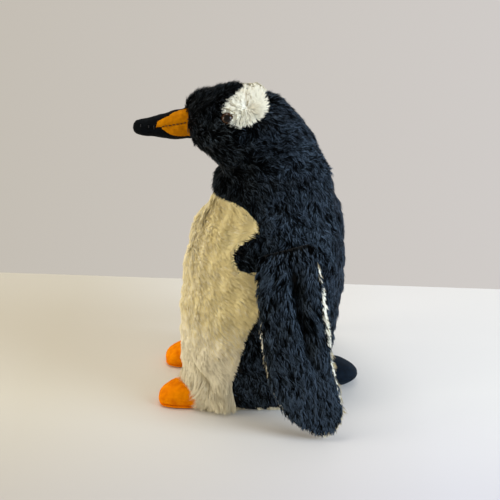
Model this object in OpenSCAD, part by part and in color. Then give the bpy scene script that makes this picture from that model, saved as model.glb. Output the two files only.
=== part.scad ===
// Plush penguin, standing on its base. Millimetres.
// The penguin faces -Y, its left side is +X, and z = 0 is the flat face that it rests on.

/* [Whole figure] */
// Height from the base to the crown, with the pile pressed flat
height = 214; // [190:1:240]
// Greatest depth of the body, from the belly to the back
body_depth = 116; // [104:1:128]
// Greatest width of the body
body_width = 105; // [95:1:115]

/* [Fabric] */
// Thickness of the long fur fabric, backing and pressed pile together
fur_t = 3.5; // [3:0.1:4.5]
// Thickness of the short velour of the beak and the tail
velour_t = 1.6; // [1.2:0.1:2]
// Thickness of the felt of the feet
felt_t = 2; // [1.5:0.1:2.5]

/* [Neck] */
// Radius of the ball of stuffing that the head nods on
neck_ball_r = 45.2; // [44.6:0.1:46]
// Space between the ball and the head
neck_gap = 0.5; // [0.3:0.1:1]

/* [Flippers] */
// Angle between a hanging flipper and the vertical
flipper_flare = 16; // [14:1:20]
// Slope of the shoulder seam, rising towards the back
shoulder_slope = 14; // [8:1:16]
// Thickness of a flipper at its middle
flipper_t = 8; // [6:0.5:9]

/* [Feet and tail] */
// Distance of a foot's middle from the middle of the body
foot_x = 30; // [28:1:33]
// How far the toes turn up
toe_lift = 20; // [10:1:25]
// How far the tip of the tail turns up
tail_lift = 25; // [10:1:30]

/* [Eyes] */
// Diameter of an eye's dome
eye_d = 7.6; // [6:0.2:9]
// How high the dome stands above the head
eye_rise = 3; // [2:0.2:4]
// Diameter of the shank behind the dome
shank_d = 2.6; // [2:0.1:3]

/* [Weight in the base] */
// Height of the bag of pellets
pouch_h = 26; // [22:1:34]
// Diameter of one pellet
pellet_d = 6; // [5:0.5:7]

/* [Hidden] */

left = 1;
right = -1;
fit = 0.15;             // space between pieces that are sewn or stuffed together
clear = 0.6;            // space between the body and the feet or the tail
base_panel_h = 3;
soft_sides = 32;        // points round a ring of a foot, the tail or the bag

pouch_y = 2;
pouch_z = base_panel_h + 0.5;
pouch_deep = 23;        // half depth of the bag's flat ends
pouch_wide = 25;        // half width of the bag's flat ends
pouch_swell = 9;        // how far its side bulges beyond them
pouch_t = 0.8;
far = 300;              // further than any part of the figure
sides = 36;             // points round a ring of the body
ring_power = 2.25;      // 2 is an ellipse, more is squarer
base_power = 4.4;       // the body's rings grow squarer towards the base
base_rise = 45;         // up to this height
foot_power = 3.2;

// Stations up the body and head: height, front, back and half width.
sz = height / 214;
sy = body_depth / 116;
sx = body_width / 105;
body_stations = [for (s = [
    [0, -40.5, 43.5, 45],
    [4, -44.2, 47.2, 47.8],
    [12, -46.2, 51.5, 49.5],
    [25, -48.6, 56.5, 51.3],
    [45, -49.8, 61.3, 52.5],
    [65, -49.3, 64, 52.5],
    [85, -47.6, 65.5, 51],
    [100, -45.2, 66.2, 49.5],
    [115, -40.8, 65.2, 47],
    [128, -34.4, 62.5, 44.5],
    [138, -28.2, 60, 42.3],
    [148, -25.3, 57, 40],
    [157, -23, 53, 37.5],
    [164, -24.3, 49.5, 36.5],
    [170, -28.6, 46.6, 36],
    [177, -37, 43.3, 35.7],
    [187, -44.3, 37.3, 34.8],
    [196, -44, 30.2, 31.8],
    [203, -40, 22, 27],
    [209, -30.8, 12.5, 19],
    [212.5, -20.5, 4.5, 11],
    [214, -11, -4, 3]
]) [s[0] * sz, s[1] * sy, s[2] * sy, s[3] * sx]];

neck_y = 16 * sy;
neck_z = 133 * sz;
neck_cut_z = 145 * sz;

// Outline of the cream belly, seen from the side: the dark shoulder makes a notch in it.
belly_outline = [for (p = [
    [-70, 143], [-20, 143], [-8, 141.8], [-1.5, 138], [1.5, 131], [-4.5, 121],
    [-10, 114.5], [-11.5, 108.5], [-8, 103.2], [-2, 101.5], [8, 100.5], [12, 92], [8, 78],
    [1.5, 67.5], [-3, 56], [-7.5, 40], [-12, 23], [-15, -5], [-70, -5]
]) [p[0] * sy, p[1] * sz]];

// Outline of the white band, seen from the side: wide behind the eye, narrow over the crown.
strap_outline = [for (p = [
    [-12, 195.5], [-14.2, 200.3], [-15, 202.5], [-10.5, 206], [-5.5, 209], [-2, 211.5],
    [-0.5, 221], [7.5, 221], [8, 211], [8.8, 204], [8, 200.5], [4.5, 197.5],
    [0, 195.2], [-6.5, 194.2]
]) [p[0] * sy, p[1] * sz]];

// Stations along the beak: distance in front of the origin, lowest, highest and half width.
beak_stations = [
    [40, 178, 197.8, 10.5],
    [47, 177.2, 196.3, 10],
    [55, 177.9, 194, 8.6],
    [63, 178.8, 191.8, 7.2],
    [70, 179.3, 190.2, 6.1],
    [73.2, 180.1, 189.3, 5],
    [75.3, 181.8, 187.7, 3],
    [76, 183.6, 186, 1]
];
beak_length = 76;
beak_sides = 24;
mouth_rise = 0.2;       // how much the mouth climbs for each millimetre towards the head
mouth_h = 0.8;          // width of the line of stitches
mouth_front = 57;
mouth_back = 39;
mouth_reach = 90;       // further forward than the beak
mouth_root = 20;        // further back than its root
mouth_x = 4;            // the stitches begin this far from the middle
ridge_half_w = 2.6;
patch_gap = mouth_h / 2 + fit;
patch_upper_outline = [
    [-59.9, 188.8], [-59, 190.2], [-57.8, 190.9], [-54.4, 192.7], [-52.2, 193.5],
    [-51.2, 194.4], [-48, 195.8], [-44, 197.2], [-40, 198.6], [-40, 184], [-58, 184]
];
patch_lower_outline = [
    [-56.9, 186.4], [-54.5, 184.2], [-51.2, 182], [-46, 180.8], [-40, 181], [-40, 192], [-57, 192]
];

// Stations down a flipper from its seam: distance, front edge and rear edge.
flipper_stations = [
    [-2.5, -16, 16],
    [0, -19.5, 19.5],
    [10, -22, 18.8],
    [22, -25, 18],
    [41, -28.8, 15.5],
    [58, -31, 13.6],
    [72, -32, 12],
    [83, -31.4, 11.6],
    [92, -29.4, 11.8],
    [100, -25.4, 11.4],
    [106.3, -20.8, 10],
    [111, -16.4, 7.8],
    [114.6, -11.6, 4.4],
    [116.4, -7.5, 0.5]
];
flipper_length = 116.4;
flipper_arc = 12;        // points along each half of a flipper's ring
root_bead = 2.4;         // half thickness of a flipper at its seam
root_fill = 40;          // it swells to its full thickness at this distance
tip_thin = 90;           // and thins again from here
tip_bead = 1.2;          // to about this half thickness
seam_x = 50.5;
seam_y = 23;
seam_z = 115.5;
shoulder_turn = 4;       // how far the seam turns in towards the back

// Stations up a foot: height, toe, heel and half width.
foot_stations = [
    [0, -60.5, -24, 12],
    [2, -62, -23, 12.8],
    [5, -62.3, -22, 13],
    [7.5, -61.2, -22, 12.8],
    [10, -58.3, -22, 12.2],
    [12, -55.4, -22, 11.3],
    [13.4, -52.6, -24, 10],
    [14.2, -49.5, -28, 7.5]
];
foot_hinge_y = -41;
foot_hinge_z = 3;

// Stations up the tail: height, root, tip and half width.
tail_stations = [
    [0, 46, 67, 9],
    [2, 46, 72, 12],
    [6, 46, 76, 14.5],
    [9.5, 46, 75, 14.5],
    [12.5, 46, 71, 12.5],
    [15, 46, 65, 9],
    [16.2, 48, 60, 4]
];
tail_seam_z = 7;
tail_hinge_y = 53;
tail_hinge_z = 7;

eye_y = -14;
eye_z = 197.1;
eye_x = 28.3;           // where the dome sits, on the backing of the fur
eye_tilt = 12;          // how far the eyes look up
eye_seat = 0.9;         // thickness of the dome's rim
shank_length = 7;
washer_d = 8;
washer_t = 1.2;
washer_depth = 4.6;     // how far the washer's back is behind the dome's seat

// Index of the pair of stations that holds the value v.
function segment(st, v, i = 0) =
    (i >= len(st) - 2 || v <= st[i + 1][0]) ? i : segment(st, v, i + 1);

// Slope of column k at station i.
function slope(st, k, i) =
    let (a = max(i - 1, 0), b = min(i + 1, len(st) - 1))
    (st[b][k] - st[a][k]) / (st[b][0] - st[a][0]);

// Smooth value of column k at v, through every station.
function at(st, k, v) =
    let (
        i = segment(st, v),
        h = st[i + 1][0] - st[i][0],
        t = (v - st[i][0]) / h,
        a = st[i][k],
        b = st[i + 1][k],
        ma = slope(st, k, i) * h,
        mb = slope(st, k, i + 1) * h
    )
    a * (1 + 2 * t) * pow(1 - t, 2) + ma * t * pow(1 - t, 2)
    + b * t * t * (3 - 2 * t) + mb * t * t * (t - 1);

// Every station's value and the one halfway to the next.
function steps(st) = concat(
    [for (i = [0 : len(st) - 2]) each [st[i][0], (st[i][0] + st[i + 1][0]) / 2]],
    [st[len(st) - 1][0]]
);

// A rounded ring at height z round [0, cy], with half sizes b across and a deep.
function ring(cy, a, b, z, n, power = ring_power) = [for (i = [0 : n - 1])
    let (c = cos(360 * i / n), s = sin(360 * i / n))
    [
        b * sign(c) * pow(abs(c), 2 / power),
        cy + a * sign(s) * pow(abs(s), 2 / power),
        z
    ]
];

// The ring at v of a stack of stations, set in by t along the surface's slope.
function station_ring(st, v, t, n, power = ring_power) =
    let (
        a = (at(st, 2, v) - at(st, 1, v)) / 2,
        b = at(st, 3, v),
        d = 0.5,
        lo = max(v - d, st[0][0]),
        hi = min(v + d, st[len(st) - 1][0]),
        grow = (at(st, 3, hi) - at(st, 3, lo)) / (hi - lo),
        norm = sqrt(1 + grow * grow)
    )
    ring((at(st, 2, v) + at(st, 1, v)) / 2, max(a - t / norm, 0.6), max(b - t / norm, 0.5),
        v + t * grow / norm, n, power);

// A closed solid through a list of rings with the same number of points, from the lowest up.
module stack(rings) {
    n = len(rings[0]);
    m = len(rings);
    polyhedron(
        points = [for (r = rings) each r],
        faces = concat(
            [[for (i = [0 : n - 1]) i]],
            [for (j = [0 : m - 2]) for (i = [0 : n - 1])
                let (p = j * n + i, q = j * n + (i + 1) % n)
                each [[p, p + n, q + n], [p, q + n, q]]],
            [[for (i = [n - 1 : -1 : 0]) (m - 1) * n + i]]
        ),
        convexity = 8
    );
}

// The ring of the body at station s, set in by t.
function body_ring(s, t) =
    station_ring(body_stations, s[0], t, sides,
        ring_power + (base_power - ring_power) * max(1 - s[0] / (base_rise * sz), 0));

// The figure's whole form without beak, flippers, feet and tail, set in by t.
module form(t = 0) {
    stack([for (s = body_stations) body_ring(s, t)]);
}

// Everything between two heights.
module slab(z_low, z_high) {
    translate([-far, -far, z_low])
        cube([2 * far, 2 * far, z_high - z_low]);
}

// Everything on one side of the middle plane, past the distance gap.
module half(side, gap = 0) {
    translate([side > 0 ? gap : -far - gap, -far, -far])
        cube([far, 2 * far, 2 * far]);
}

// An outline drawn in Y and Z, cut right through across X.
module across(outline, w = far) {
    rotate([90, 0, 90])
        linear_extrude(height = w, center = true)
            polygon(outline);
}

module neck_ball(extra = 0) {
    translate([0, neck_y, neck_z])
        sphere(r = neck_ball_r + extra, $fn = 72);
}

// What belongs to the body: all below the neck, and the ball that the head sits on.
module torso_space() {
    union() {
        slab(-1, neck_cut_z);
        neck_ball();
    }
}

module fur_shell(t = fur_t) {
    difference() {
        form();
        form(t);
    }
}

// ---- Body ----

module torso_shell() {
    intersection() {
        fur_shell();
        torso_space();
    }
}

module back_panel(side) {
    difference() {
        intersection() {
            torso_shell();
            half(side, fit / 2);
        }
        across(belly_outline);
        translate([0, 0, -1])
            base_outline(base_panel_h + 1, fit);
    }
}

// The flat outline of the base, grown by extra and h high.
module base_outline(h, extra = 0) {
    b = body_stations[0];
    linear_extrude(height = h)
        polygon([for (p = ring((b[1] + b[2]) / 2, (b[2] - b[1]) / 2 - fur_t + extra,
            b[3] - fur_t + extra, 0, sides, base_power)) [p[0], p[1]]]);
}

module back_panel_left() { color("#232a38") back_panel(left); }
module back_panel_right() { color("#232a38") back_panel(right); }

module belly_panel() {
    color("#e6dcb8")
        difference() {
            intersection() {
                torso_shell();
                across([for (p = belly_outline) [p[0] - fit, p[1]]]);
            }
            translate([0, 0, -1])
                base_outline(base_panel_h + 1, fit);
        }
}

module base_panel() {
    color("#e0d8be") base_outline(base_panel_h);
}

// Where the bag of pellets lies, grown by extra.
module pouch_form(extra = 0) {
    translate([0, pouch_y, pouch_z])
        stack([for (v = [0 : 0.125 : 1])
            let (swell = pouch_swell * sqrt(max(1 - pow(2 * v - 1, 2), 0)))
            ring(0, pouch_deep + swell + extra, pouch_wide + swell + extra,
                -extra + v * (pouch_h + 2 * extra), soft_sides)]);
}

module body_stuffing() {
    color("#f4f4f0")
        difference() {
            intersection() {
                form(fur_t + fit);
                union() {
                    slab(base_panel_h + fit, neck_cut_z);
                    neck_ball();
                }
            }
            pouch_form(fit);
        }
}

module pellet_pouch() {
    color("#d9d4c8")
        difference() {
            pouch_form();
            pouch_form(-pouch_t);
        }
}

// The pellets lie in layers, each ring of them a pellet's width from the last.
module pellets() {
    step = pellet_d * 1.15;
    color("#9fb4c4")
        translate([0, pouch_y, pouch_z + pouch_t + 2 * fit + pellet_d / 2])
            for (layer = [0 : 2])
                for (turn = [0 : 2])
                    let (r = pellet_d * (0.75 + 1.15 * turn), n = floor(2 * PI * r / step))
                    for (i = [0 : n - 1])
                        rotate([0, 0, 360 * i / n + 20 * layer])
                            translate([r, 0, layer * pellet_d * 1.05])
                                sphere(d = pellet_d, $fn = 24);
}

// ---- Head ----

module head_space() {
    difference() {
        slab(neck_cut_z, far);
        neck_ball(neck_gap);
    }
}

module head_shell() {
    difference() {
        intersection() {
            fur_shell();
            head_space();
        }
        beak_form(-fit);
        for (side = [left, right])
            eye_hole(side);
    }
}

module head_panel(side) {
    difference() {
        intersection() {
            head_shell();
            half(side, fit / 2);
        }
        across(strap_outline);
    }
}

module head_panel_left() { color("#232a38") head_panel(left); }
module head_panel_right() { color("#232a38") head_panel(right); }

// The strap's outline, drawn in towards its middle to leave room for the seam.
function strap_inner() =
    let (y = -2 * sy, z = 205 * sz, k = 1 - fit / 6)
    [for (p = strap_outline) [y + (p[0] - y) * k, z + (p[1] - z) * k]];

module crown_strap() {
    color("#eceade")
        intersection() {
            head_shell();
            across(strap_inner());
        }
}

module head_stuffing() {
    color("#f4f4f0")
        difference() {
            intersection() {
                form(fur_t + fit);
                head_space();
            }
            beak_form(-fit);
            for (side = [left, right])
                eye_space(side);
        }
}

// ---- Beak ----

// The beak's form, set in by t; it runs forward from inside the head.
module beak_form(t = 0) {
    rotate([90, 0, 0])
        stack([for (v = steps(beak_stations))
            let (
                low = at(beak_stations, 1, v),
                high = at(beak_stations, 2, v),
                w = at(beak_stations, 3, v)
            )
            ring((low + high) / 2, max((high - low) / 2 - t, 0.3), max(w - t, 0.3),
                min(v, beak_length - t), beak_sides)]);
}

module beak_shell() {
    difference() {
        beak_form();
        beak_core();
    }
}

module beak_core() {
    intersection() {
        beak_form(velour_t);
        translate([-far, velour_t - beak_length, -far])
            cube([2 * far, far, 2 * far]);
    }
}

// Height of the mouth at y.
function mouth_z(y) = 186.8 + mouth_rise * (y + 57);

// Everything above (up 1) or below (up -1) the mouth, gap away from it.
module mouth_side(up, gap) {
    across([
        [-mouth_reach, mouth_z(-mouth_reach) + up * gap],
        [-mouth_root, mouth_z(-mouth_root) + up * gap],
        [-mouth_root, mouth_z(-mouth_root) + up * far],
        [-mouth_reach, mouth_z(-mouth_reach) + up * far]
    ]);
}

// Beside the ridge, on one side.
module beak_flank(side) {
    half(side, ridge_half_w);
}

module beak_upper() {
    color("#1a2230")
        difference() {
            intersection() {
                beak_shell();
                mouth_side(1, fit / 2);
            }
            for (side = [left, right]) {
                intersection() {
                    across(patch_upper_outline);
                    half(side, ridge_half_w - fit);
                }
                stitch_line(side, fit);
            }
        }
}

module beak_lower() {
    color("#1a2230")
        difference() {
            intersection() {
                beak_shell();
                mouth_side(-1, fit / 2);
            }
            for (side = [left, right]) {
                intersection() {
                    across(patch_lower_outline);
                    half(side, ridge_half_w - fit);
                }
                stitch_line(side, fit);
            }
        }
}

module beak_patch(side, up, outline) {
    color("#f0930c")
        intersection() {
            beak_shell();
            across(outline);
            beak_flank(side);
            mouth_side(up, patch_gap);
        }
}

module beak_patch_upper_left() { beak_patch(left, 1, patch_upper_outline); }
module beak_patch_upper_right() { beak_patch(right, 1, patch_upper_outline); }
module beak_patch_lower_left() { beak_patch(left, -1, patch_lower_outline); }
module beak_patch_lower_right() { beak_patch(right, -1, patch_lower_outline); }

// The line of thread where the two halves of the beak meet, on one side.
module stitch_line(side, extra = 0) {
    h = mouth_h / 2 + extra;
    front = -mouth_front - extra;
    back = -mouth_back + extra;
    intersection() {
        across([
            [front, mouth_z(front) - h], [back, mouth_z(back) - h],
            [back, mouth_z(back) + h], [front, mouth_z(front) + h]
        ]);
        half(side, mouth_x - extra);
        beak_shell();
    }
}

module mouth_stitch() {
    color("#101010") {
        stitch_line(left);
        stitch_line(right);
    }
}

module beak_stuffing() {
    color("#f4f4f0")
        intersection() {
            beak_form(velour_t + fit);
            translate([-far, velour_t + 2 * fit - beak_length, -far])
                cube([2 * far, far, 2 * far]);
        }
}

// ---- Eyes ----

// Puts a shape that points along +Z on the side of the head, pointing outwards.
module on_eye(side) {
    translate([side * eye_x, eye_y, eye_z])
        rotate([0, side * (90 - eye_tilt), 0])
            children();
}

// The hole for the shank, and the patch where the pile is cut away for the dome.
module eye_hole(side) {
    on_eye(side) {
        translate([0, 0, -20])
            cylinder(d = shank_d + 2 * fit, h = 40, $fn = 32);
        translate([0, 0, -fit])
            cylinder(d = eye_d + 2 * fit, h = 20, $fn = 64);
    }
}

// Room in the stuffing for the shank and the washer.
module eye_space(side) {
    on_eye(side) {
        translate([0, 0, -shank_length - fit])
            cylinder(d = shank_d + 2 * fit, h = shank_length + 5, $fn = 32);
        translate([0, 0, -washer_depth - fit])
            cylinder(d = washer_d + 2 * fit, h = washer_t + 2 * fit, $fn = 48);
    }
}

module eye(side) {
    dome_r = (pow(eye_d / 2, 2) + pow(eye_rise, 2)) / (2 * eye_rise);
    color("#6b3a12")
        on_eye(side) {
            intersection() {
                translate([0, 0, eye_seat + eye_rise - dome_r])
                    sphere(r = dome_r, $fn = 64);
                translate([0, 0, eye_seat])
                    cylinder(d = eye_d + 1, h = eye_rise + 1, $fn = 64);
            }
            cylinder(d = eye_d, h = eye_seat, $fn = 64);
            translate([0, 0, -shank_length])
                cylinder(d = shank_d, h = shank_length + eye_seat, $fn = 32);
        }
}

module eye_left() { eye(left); }
module eye_right() { eye(right); }

module eye_washer(side) {
    color("#e8e8e8")
        on_eye(side)
            translate([0, 0, -washer_depth])
                difference() {
                    cylinder(d = washer_d, h = washer_t, $fn = 48);
                    translate([0, 0, -1])
                        cylinder(d = shank_d + 0.1, h = washer_t + 2, $fn = 32);
                }
}

module eye_washer_left() { eye_washer(left); }
module eye_washer_right() { eye_washer(right); }

// ---- Flippers ----

// Half thickness of a flipper at the distance s from its seam.
function blade_half(s) =
    s < 0 ? root_bead / 2 + fit :
    root_bead + (flipper_t / 2 - root_bead) * sin(min(s / root_fill, 1) * 90)
    - (flipper_t / 2 - tip_bead) * pow(max((s - tip_thin) / (flipper_length - tip_thin), 0), 2);

// One face of a flipper: face is 1 for the outer fabric and -1 for the inner.
// Each ring runs round the bulging side and back along the seam between the two faces.
function blade_ring(s, face) =
    let (
        f = at(flipper_stations, 1, s),
        r = at(flipper_stations, 2, s),
        c = (f + r) / 2,
        w = (r - f) / 2,
        t = blade_half(s),
        arc = [for (i = [0 : flipper_arc])
            let (a = -90 + 180 * i / flipper_arc)
            [fit / 2 + t * cos(a), c + w * sin(a), -s]]
    )
    face > 0
        ? arc
        : [for (i = [flipper_arc : -1 : 0]) [-arc[i][0], arc[i][1], arc[i][2]]];

module blade(face) {
    down = steps(flipper_stations);
    stack([for (i = [len(down) - 1 : -1 : 0]) blade_ring(down[i], face)]);
}

module flipper(side, face) {
    mirror([side > 0 ? 0 : 1, 0, 0])
        translate([seam_x, seam_y, seam_z])
            rotate([shoulder_slope, 0, shoulder_turn])
                rotate([0, -flipper_flare, 0])
                    blade(face);
}

module flipper_outer_left() { color("#232a38") flipper(left, 1); }
module flipper_inner_left() { color("#e6dcb8") flipper(left, -1); }
module flipper_outer_right() { color("#232a38") flipper(right, 1); }
module flipper_inner_right() { color("#e6dcb8") flipper(right, -1); }

// ---- Feet and tail ----

// The body's form near a foot or the tail, and where it would be if they were turned by angle.
module body_swept(hinge_y, hinge_z, angle) {
    for (a = [0, angle / 2, angle])
        translate([0, hinge_y, hinge_z])
            rotate([a, 0, 0])
                translate([0, -hinge_y, -hinge_z])
                    stack([for (s = body_stations) if (s[0] < 50 * sz) body_ring(s, -clear)]);
}

module foot_form(t = 0) {
    difference() {
        translate([foot_x, 0, 0])
            stack([for (s = foot_stations)
                station_ring(foot_stations, s[0], t, soft_sides, foot_power)]);
        body_swept(foot_hinge_y, foot_hinge_z, toe_lift);
    }
}

module sided(side) {
    mirror([side > 0 ? 0 : 1, 0, 0])
        children();
}

module foot_top(side) {
    color("#ff9a10")
        sided(side)
            intersection() {
                difference() {
                    foot_form();
                    foot_form(felt_t);
                }
                slab(felt_t + fit, far);
            }
}

module foot_sole(side) {
    color("#ff9a10")
        sided(side)
            intersection() {
                foot_form();
                slab(0, felt_t);
            }
}

module foot_padding(side) {
    color("#f4f4f0")
        sided(side)
            intersection() {
                foot_form(felt_t + fit);
                slab(felt_t + fit, far);
            }
}

module foot_top_left() { foot_top(left); }
module foot_top_right() { foot_top(right); }
module foot_sole_left() { foot_sole(left); }
module foot_sole_right() { foot_sole(right); }
module foot_padding_left() { foot_padding(left); }
module foot_padding_right() { foot_padding(right); }

module tail_form(t = 0) {
    difference() {
        stack([for (s = tail_stations) station_ring(tail_stations, s[0], t, soft_sides)]);
        body_swept(tail_hinge_y, tail_hinge_z, -tail_lift);
    }
}

module tail_shell() {
    difference() {
        tail_form();
        tail_form(velour_t);
    }
}

module tail_top() {
    color("#141c2a")
        intersection() {
            tail_shell();
            slab(tail_seam_z + fit, far);
        }
}

module tail_under() {
    color("#141c2a")
        intersection() {
            tail_shell();
            slab(0, tail_seam_z);
        }
}

module tail_padding() {
    color("#f4f4f0") tail_form(velour_t + fit);
}

back_panel_left();
back_panel_right();
belly_panel();
base_panel();
body_stuffing();
pellet_pouch();
pellets();
head_panel_left();
head_panel_right();
crown_strap();
head_stuffing();
beak_upper();
beak_lower();
beak_patch_upper_left();
beak_patch_upper_right();
beak_patch_lower_left();
beak_patch_lower_right();
mouth_stitch();
beak_stuffing();
eye_left();
eye_right();
eye_washer_left();
eye_washer_right();
flipper_outer_left();
flipper_inner_left();
flipper_outer_right();
flipper_inner_right();
foot_top_left();
foot_sole_left();
foot_padding_left();
foot_top_right();
foot_sole_right();
foot_padding_right();
tail_top();
tail_under();
tail_padding();
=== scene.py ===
"""The looks of a standing plush penguin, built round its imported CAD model.

The penguin faces -Y and its left side is +X. Lengths are millimetres of the CAD design; MM turns
them into the frame's metres where a mesh is made.
"""

import math

import bpy
import numpy as np
from mathutils import Matrix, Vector
from mathutils.kdtree import KDTree


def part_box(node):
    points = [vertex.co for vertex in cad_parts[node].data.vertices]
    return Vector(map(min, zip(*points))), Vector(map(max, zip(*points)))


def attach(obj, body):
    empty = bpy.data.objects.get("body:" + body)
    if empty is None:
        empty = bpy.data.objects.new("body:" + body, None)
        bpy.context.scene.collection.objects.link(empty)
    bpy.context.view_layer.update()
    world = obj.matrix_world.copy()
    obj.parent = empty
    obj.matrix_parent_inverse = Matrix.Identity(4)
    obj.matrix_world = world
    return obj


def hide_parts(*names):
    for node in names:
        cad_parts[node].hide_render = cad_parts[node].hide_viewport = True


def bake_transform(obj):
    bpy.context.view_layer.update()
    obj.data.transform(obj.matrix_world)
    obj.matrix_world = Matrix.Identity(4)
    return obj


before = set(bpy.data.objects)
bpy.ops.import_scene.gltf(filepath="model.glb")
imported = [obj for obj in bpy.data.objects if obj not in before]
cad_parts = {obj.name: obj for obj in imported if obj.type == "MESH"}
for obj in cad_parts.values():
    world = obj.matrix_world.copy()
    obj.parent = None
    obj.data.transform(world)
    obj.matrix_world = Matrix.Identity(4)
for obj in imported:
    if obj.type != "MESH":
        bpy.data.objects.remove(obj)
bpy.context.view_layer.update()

DESIGN_HEIGHT = 214.0
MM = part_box("head_panel_left")[1].z / DESIGN_HEIGHT

# ---- camera

CAMERA_DISTANCE = 638.5 * MM
CAMERA_HEIGHT = 338 * MM
CAMERA_PITCH = math.radians(20.5)
CAMERA_LENS = 72.0


def make_camera():
    data = bpy.data.cameras.new("camera")
    data.sensor_width = 36.0
    data.lens = CAMERA_LENS
    data.clip_start = 0.05
    data.clip_end = 20.0
    camera = bpy.data.objects.new("camera", data)
    camera.location = (CAMERA_DISTANCE, 0.0, CAMERA_HEIGHT)
    camera.rotation_euler = (math.pi / 2 - CAMERA_PITCH, 0.0, math.pi / 2)
    bpy.context.scene.collection.objects.link(camera)
    bpy.context.scene.camera = camera


# ---- the figure's form

RING_POWER = 2.25
BASE_POWER = 4.4
FOOT_POWER = 3.2

# Height, front, back and half width of the pressed pile's surface. The tables of the feet and the
# tail have the same columns.
BODY = np.array([
    (0, -40.5, 43.5, 45), (4, -44.2, 47.2, 47.8), (12, -46.2, 51.5, 49.5), (25, -48.6, 56.5, 51.3),
    (45, -49.8, 61.3, 52.5), (65, -49.3, 64, 52.5), (85, -47.6, 65.5, 51),
    (100, -45.2, 66.2, 49.5),
    (115, -40.8, 65.2, 47), (128, -34.4, 62.5, 44.5), (138, -28.2, 60, 42.3), (148, -25.3, 57, 40),
    (157, -23, 53, 37.5), (164, -24.3, 49.5, 36.5), (170, -28.6, 46.6, 36), (177, -37, 43.3, 35.7),
    (187, -44.3, 37.3, 34.8), (196, -44, 30.2, 31.8), (203, -40, 22, 27), (209, -30.8, 12.5, 19),
    (212.5, -20.5, 4.5, 11), (214, -11, -4, 3),
], float)

# Outlines seen from the side, as Y and Z.
BELLY_OUTLINE = [(-70, 143), (-20, 143), (-8, 141.8), (-1.5, 138), (1.5, 131), (-4.5, 121),
                 (-10, 114.5), (-11.5, 108.5), (-8, 103.2), (-2, 101.5), (8, 100.5), (12, 92),
                 (8, 78), (1.5, 67.5), (-3, 56), (-7.5, 40), (-12, 23), (-15, -5), (-70, -5)]
STRAP_OUTLINE = [(-12, 195.5), (-14.2, 200.3), (-15, 202.5), (-10.5, 206), (-5.5, 209),
                 (-2, 211.5), (-0.5, 221), (7.5, 221), (8, 211), (8.8, 204), (8, 200.5),
                 (4.5, 197.5), (0, 195.2), (-6.5, 194.2)]

NECK_SEAM = 158.5       # height where the head's fabric meets the body's
PILE = 3.4              # from the backing of the fur to the pressed pile's surface
BACKING = 1.1           # thickness of the fur's backing
STRAP_FROM = 185        # nothing below this height belongs to the band over the crown


def smooth_at(table, column, v):
    """Value of a column at v, on a smooth curve through every row of the table."""
    x, y = table[:, 0], table[:, column]
    slopes = np.empty(len(x))
    slopes[1:-1] = (y[2:] - y[:-2]) / (x[2:] - x[:-2])
    slopes[0] = (y[1] - y[0]) / (x[1] - x[0])
    slopes[-1] = (y[-1] - y[-2]) / (x[-1] - x[-2])
    i = np.clip(np.searchsorted(x, v) - 1, 0, len(x) - 2)
    h = x[i + 1] - x[i]
    t = (v - x[i]) / h
    return (y[i] * (1 + 2 * t) * (1 - t) ** 2 + slopes[i] * h * t * (1 - t) ** 2
            + y[i + 1] * t * t * (3 - 2 * t) + slopes[i + 1] * h * t * t * (t - 1))


def body_power(v):
    """The body's rings are squarer towards the base."""
    return RING_POWER + (BASE_POWER - RING_POWER) * np.clip(1 - v / 45, 0, 1)


def oval(angle, wide, deep, power=RING_POWER):
    """Both coordinates on a rounded ring of these half axes; a higher power is squarer."""
    c, s = np.cos(angle), np.sin(angle)
    return (wide * np.sign(c) * np.abs(c) ** (2 / power),
            deep * np.sign(s) * np.abs(s) ** (2 / power))


def ring_points(table, v, angle, inset, power=RING_POWER):
    """Points of a form at heights v and angles, set in by inset along its slope."""
    front, back, half = (smooth_at(table, column, v) for column in (1, 2, 3))
    step = 0.5
    low = np.maximum(v - step, table[0, 0])
    high = np.minimum(v + step, table[-1, 0])
    grow = (smooth_at(table, 3, high) - smooth_at(table, 3, low)) / (high - low)
    norm = np.sqrt(1 + grow * grow)
    deep = np.maximum((back - front) / 2 - inset / norm, 0.6)
    wide = np.maximum(half - inset / norm, 0.5)
    x, y = oval(angle, wide, deep, power)
    return np.stack([x, (back + front) / 2 + y, v + inset * grow / norm], -1)


def curve_through(corners, parts=6):
    """A smooth closed line through its corners (Catmull-Rom)."""
    p = np.array(corners, float)
    out = []
    for i in range(len(p)):
        a, b, c, d = (p[(i + k) % len(p)] for k in (-1, 0, 1, 2))
        for j in range(parts):
            t = j / parts
            out.append(0.5 * (2 * b + (c - a) * t + (2 * a - 5 * b + 4 * c - d) * t ** 2
                              + (3 * b - a - 3 * c + d) * t ** 3))
    return np.array(out)


def inside(outline, y, z):
    """Which points lie inside a closed outline."""
    result = np.zeros(np.shape(y), bool)
    y0, z0 = outline[:, 0], outline[:, 1]
    y1, z1 = np.roll(y0, -1), np.roll(z0, -1)
    for a, b, c, d in zip(y0, z0, y1, z1):
        if b == d:
            continue
        crosses = (b > z) != (d > z)
        result ^= crosses & (y < a + (c - a) * (z - b) / (d - b))
    return result


def nearest_on(outline, y, z):
    """Closest point of an outline, and its distance, for each point."""
    a = outline
    d = np.roll(outline, -1, 0) - a
    p = np.stack([y, z], -1)[:, None]
    t = np.clip(((p - a) * d).sum(-1) / np.maximum((d * d).sum(-1), 1e-9), 0, 1)
    q = a + t[..., None] * d
    gap = np.linalg.norm(p - q, axis=-1)
    k = gap.argmin(1)
    rows = np.arange(len(k))
    return q[rows, k], gap[rows, k]


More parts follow.
